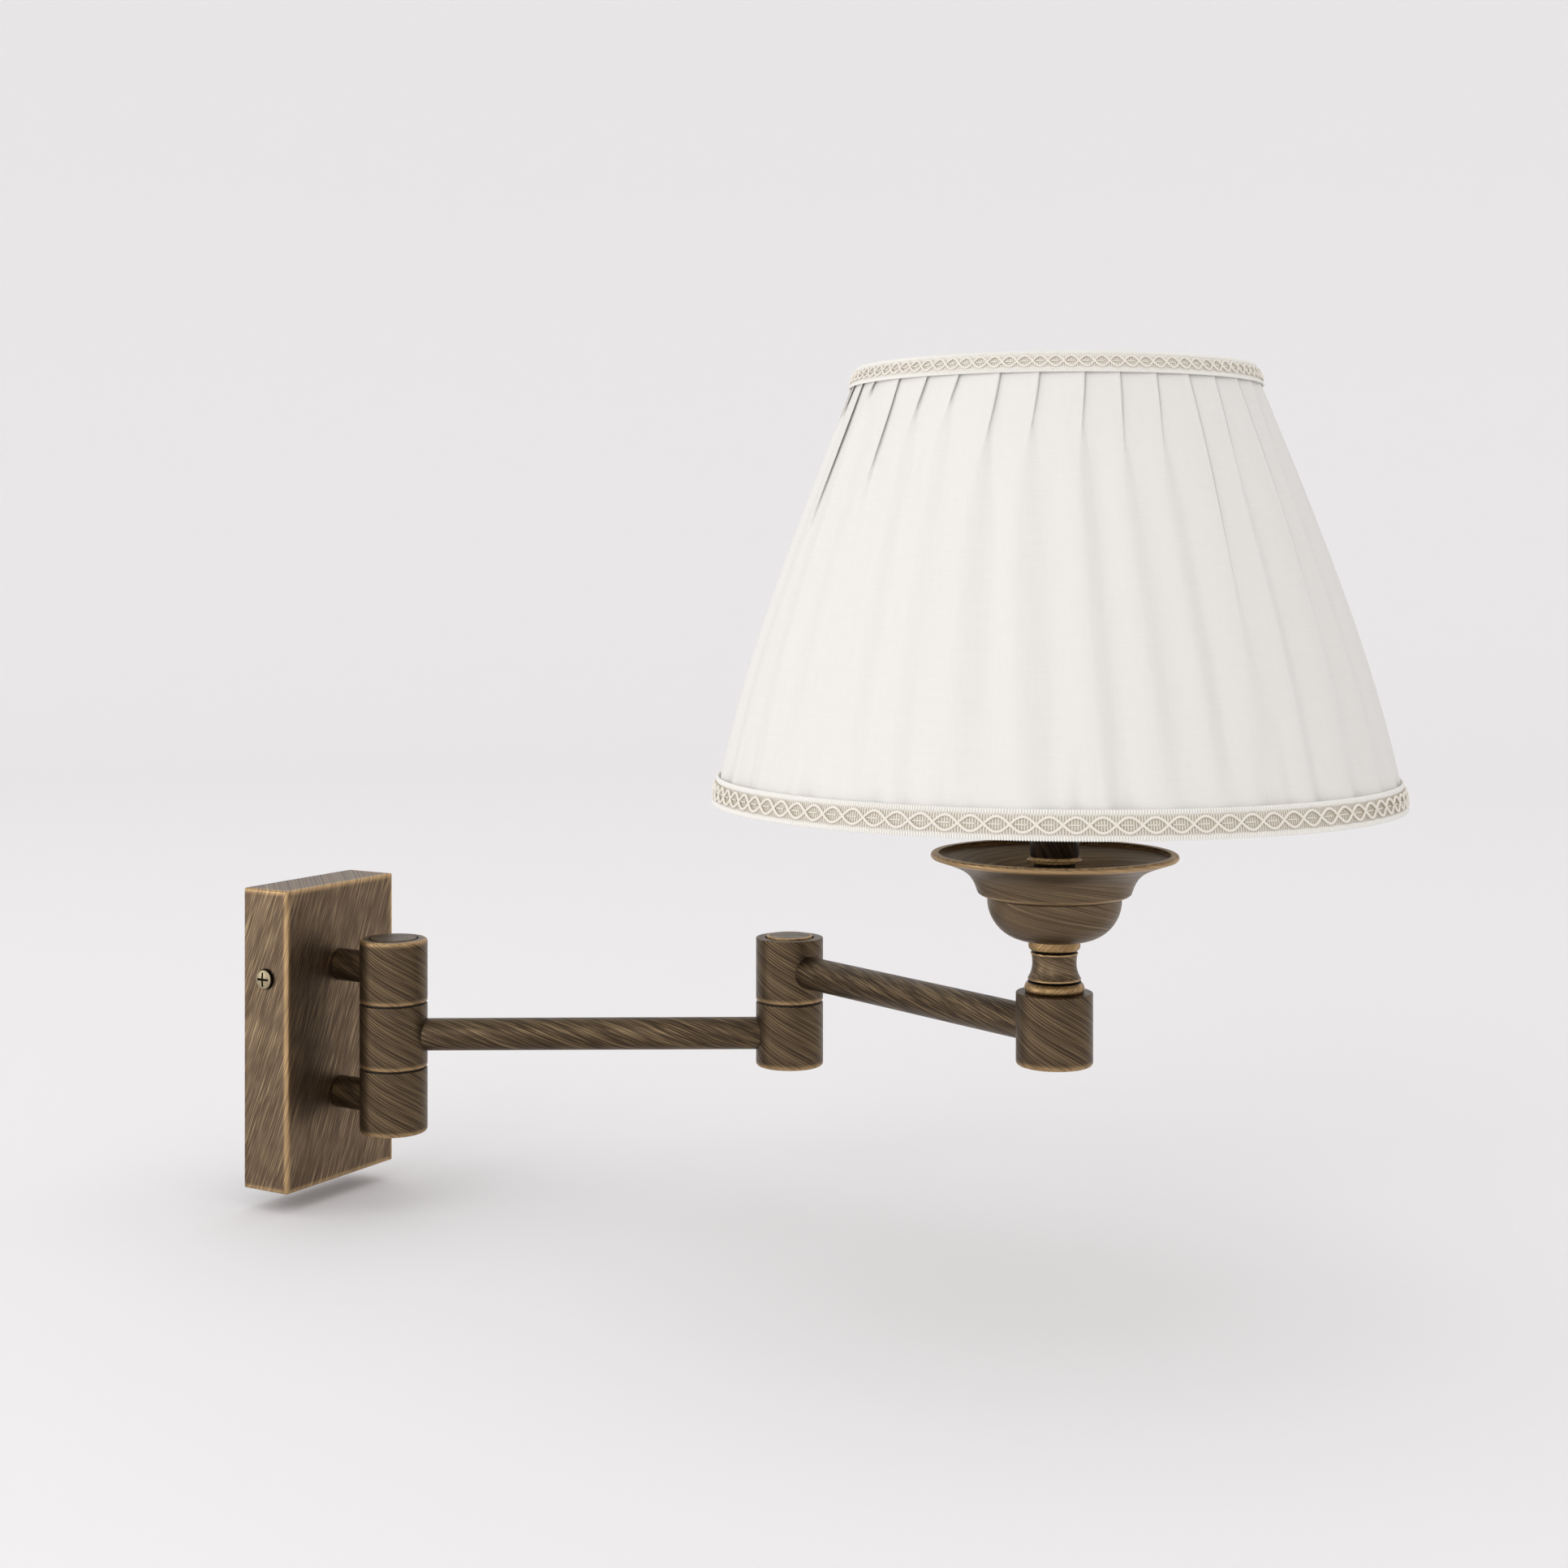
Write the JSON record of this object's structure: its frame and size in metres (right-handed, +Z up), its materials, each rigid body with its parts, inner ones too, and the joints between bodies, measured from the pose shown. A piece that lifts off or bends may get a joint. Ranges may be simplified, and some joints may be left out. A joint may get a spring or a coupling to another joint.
{
  "type": "swing arm wall sconce",
  "caption": "Wall lamp on a box backplate: two swivelling tube arms carry a turned post, a dish and a pleated fabric shade with braid edges.",
  "frame": {"origin": "on the wall face, at the middle of the backplate, where its two wall screws are centred", "axes": "+Z up, -Y straight out of the wall into the room, +X along the wall to the right as seen from the room"},
  "size_m": [0.3014, 0.5594, 0.3969],
  "materials": {
    "antique_bronze": "brushed, dark antique bronze patina",
    "worn_bronze": "brushed, rubbed back to warm bronze",
    "nickel_screw": "plated, satin",
    "zinc_steel": "bright zinc plate",
    "plain_brass": "turned, bare",
    "nylon": "natural nylon, moulded",
    "wire_insulation": "extruded insulation",
    "flex_sheath": "extruded sheath",
    "bakelite": "moulded phenolic",
    "bulb_metal": "rolled thread, satin",
    "opal_glass": "opal glass",
    "white_wire": "powder coated wire",
    "lining_cloth": "smooth satin lining",
    "ivory_cloth": "pleated fine cotton, ivory white",
    "beige_braid": "woven gimp braid with ribbed white edges"
  },
  "bodies": {
    "wall_unit": {"backplate_cover": "antique_bronze", "cover_stiffener": "zinc_steel", "wall_bracket": "zinc_steel", "cover_screws": "nickel_screw", "terminal_block": "nylon", "terminal_screws": "plain_brass", "terminal_wires": "wire_insulation", "earth_screw": "plain_brass", "wall_stub_top": "antique_bronze", "wall_stub_bottom": "antique_bronze", "stub_washers": "zinc_steel", "stub_nuts": "plain_brass", "swivel_barrel_top": "antique_bronze", "swivel_barrel_bottom": "antique_bronze", "swivel_pivot": "plain_brass", "swivel_nuts": "plain_brass", "swivel_washers": "nylon", "swivel_stop_pin": "zinc_steel", "swivel_cap_top": "antique_bronze", "swivel_cap_bottom": "antique_bronze", "wall_flex": "flex_sheath"},
    "inner_arm": {"swivel_barrel_middle": "antique_bronze", "arm_1_tube": "antique_bronze", "elbow_barrel_lower": "antique_bronze", "elbow_pivot": "plain_brass", "elbow_nuts": "plain_brass", "elbow_spring_washer": "zinc_steel", "elbow_washer": "nylon", "elbow_stop_pin": "zinc_steel", "elbow_cap_bottom": "antique_bronze", "arm_1_flex": "flex_sheath"},
    "outer_arm": {"elbow_barrel_upper": "antique_bronze", "elbow_cap_top": "antique_bronze", "arm_2_tube": "antique_bronze", "end_barrel": "antique_bronze", "end_cap": "antique_bronze", "neck_collar_lower": "worn_bronze", "neck_spool": "antique_bronze", "neck_collar_upper": "worn_bronze", "dish": "antique_bronze", "post_nipple": "plain_brass", "nipple_nuts": "plain_brass", "pillar_spacer": "antique_bronze", "pillar_base_ring": "worn_bronze", "pillar_tube": "antique_bronze", "arm_2_flex": "flex_sheath", "lampholder_cap": "bakelite", "lampholder_body": "bakelite", "lampholder_shell": "plain_brass", "lampholder_contact": "plain_brass", "shade_ring_nuts": "bakelite", "bulb_cap": "bulb_metal", "bulb_glass": "opal_glass", "shade_rings": "white_wire", "shade_struts": "white_wire", "shade_fitter": "white_wire", "shade_lining": "lining_cloth", "shade_fabric": "ivory_cloth", "trim_bottom": "beige_braid", "trim_top": "beige_braid"}
  },
  "joints": [
    {"name": "wall_swivel", "type": "hinge", "parent": "wall_unit", "child": "inner_arm", "pos_m": [0, -0.0622, 0.001], "axis": [0, 0, 1], "range_deg": [-121.5, 58.5]},
    {"name": "elbow_swivel", "type": "hinge", "parent": "inner_arm", "child": "outer_arm", "pos_m": [0.10372, -0.23145, 0.001], "axis": [0, 0, 1], "range_deg": [-96.6, 203.4]}
  ]
}
